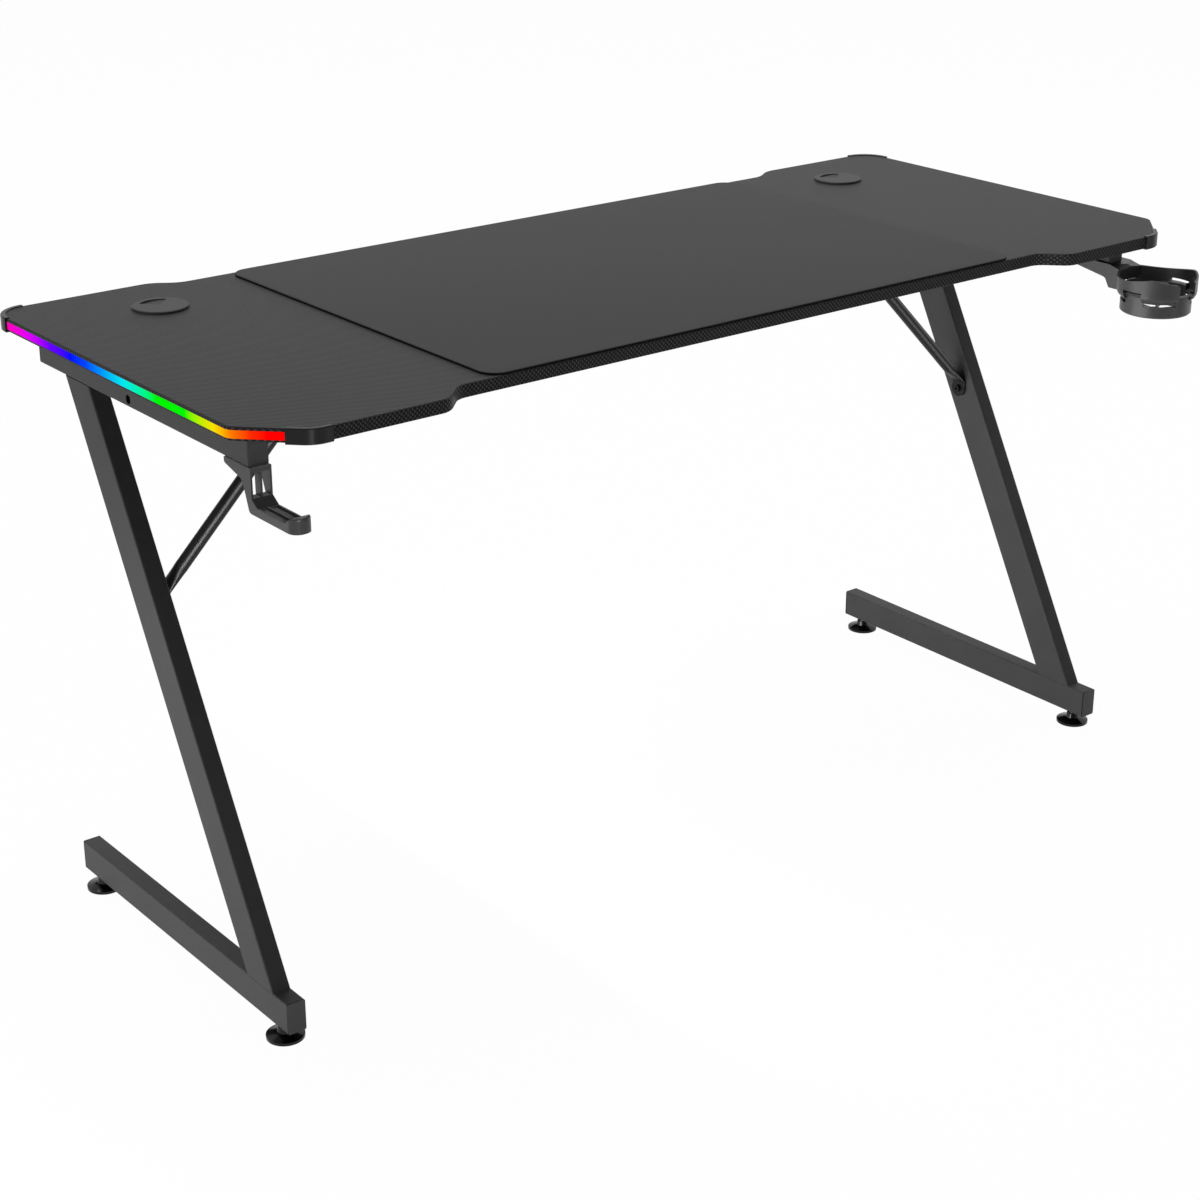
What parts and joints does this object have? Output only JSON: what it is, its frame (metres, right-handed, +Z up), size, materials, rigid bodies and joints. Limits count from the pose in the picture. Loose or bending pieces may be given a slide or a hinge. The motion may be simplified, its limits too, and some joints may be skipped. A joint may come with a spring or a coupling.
{
  "type": "gaming desk",
  "caption": "Gaming desk with carbon-look top, large mat, lit board ends, cable grommets, Z-shaped steel legs, levelling feet, headphone hook and cup holder.",
  "frame": {"origin": "on the floor, under the middle of the desk's outer box, cup holder included", "axes": "+X to the sitter's right along the long edge, +Y from the sitter towards the rear edge, +Z up"},
  "size_m": [1.4116, 0.6366, 0.7332],
  "materials": {
    "board_laminate": "satin carbon-look laminate on chipboard",
    "mat_fabric": "matte woven face on foam rubber",
    "powder_steel": "matte powder coat",
    "black_plastic": "satin moulded",
    "foot_plastic": "gloss moulded",
    "button_plastic": "satin moulded",
    "light_bar": "milky light bar",
    "circuit_strip": "white solder mask",
    "zinc_steel": "zinc plated",
    "black_steel": "black oxide"
  },
  "bodies": {
    "desk": {"desktop_board": "board_laminate", "desk_mat": "mat_fabric", "grommet_liner_left": "black_plastic", "grommet_liner_right": "black_plastic", "corner_guard_front_left": "black_plastic", "corner_guard_front_right": "black_plastic", "corner_guard_rear_left": "black_plastic", "corner_guard_rear_right": "black_plastic", "corner_guard_screws": "zinc_steel", "led_diffuser_left": "light_bar", "led_diffuser_right": "light_bar", "led_strip_left": "circuit_strip", "led_strip_right": "circuit_strip", "led_controller_case": "black_plastic", "led_controller_lid": "black_plastic", "led_controller_screws": "zinc_steel", "top_rail_left": "powder_steel", "top_rail_right": "powder_steel", "column_left": "powder_steel", "column_right": "powder_steel", "foot_bar_left": "powder_steel", "foot_bar_right": "powder_steel", "rail_caps_left": "black_plastic", "rail_caps_right": "black_plastic", "foot_caps_left": "black_plastic", "foot_caps_right": "black_plastic", "foot_insert_nuts": "zinc_steel", "crossbeam": "powder_steel", "crossbeam_plate_left": "powder_steel", "crossbeam_plate_right": "powder_steel", "crossbeam_bolts": "black_steel", "brace_left": "powder_steel", "brace_right": "powder_steel", "brace_bolts": "black_steel", "weld_nuts": "zinc_steel", "top_screws": "zinc_steel", "headphone_hook": "black_plastic", "cup_holder": "black_plastic", "accessory_screws": "black_steel"},
    "foot_front_left": {"levelling_pad_front_left": "foot_plastic", "levelling_stud_front_left": "zinc_steel"},
    "foot_front_right": {"levelling_pad_front_right": "foot_plastic", "levelling_stud_front_right": "zinc_steel"},
    "foot_rear_left": {"levelling_pad_rear_left": "foot_plastic", "levelling_stud_rear_left": "zinc_steel"},
    "foot_rear_right": {"levelling_pad_rear_right": "foot_plastic", "levelling_stud_rear_right": "zinc_steel"},
    "cap_left": {"grommet_cap_left": "black_plastic"},
    "cap_right": {"grommet_cap_right": "black_plastic"},
    "mode_button": {"led_mode_button": "button_plastic"}
  },
  "joints": [
    {"name": "foot_screw_front_left", "type": "slide", "parent": "desk", "child": "foot_front_left", "axis": [0, 0, -1], "range_m": [-0.0025, 0.012]},
    {"name": "foot_screw_front_right", "type": "slide", "parent": "desk", "child": "foot_front_right", "axis": [0, 0, -1], "range_m": [-0.0025, 0.012]},
    {"name": "foot_screw_rear_left", "type": "slide", "parent": "desk", "child": "foot_rear_left", "axis": [0, 0, -1], "range_m": [-0.0025, 0.012]},
    {"name": "foot_screw_rear_right", "type": "slide", "parent": "desk", "child": "foot_rear_right", "axis": [0, 0, -1], "range_m": [-0.0025, 0.012]},
    {"name": "cap_turn_left", "type": "hinge", "parent": "desk", "child": "cap_left", "pos_m": [-0.5432, 0.2107, 0.731], "axis": [0, 0, 1], "continuous": true},
    {"name": "cap_turn_right", "type": "hinge", "parent": "desk", "child": "cap_right", "pos_m": [0.5308, 0.2107, 0.731], "axis": [0, 0, 1], "continuous": true},
    {"name": "mode_button_press", "type": "slide", "parent": "desk", "child": "mode_button", "axis": [0, 1, 0], "range_m": [0, 0.001], "stiffness_N_per_m": 1500}
  ]
}
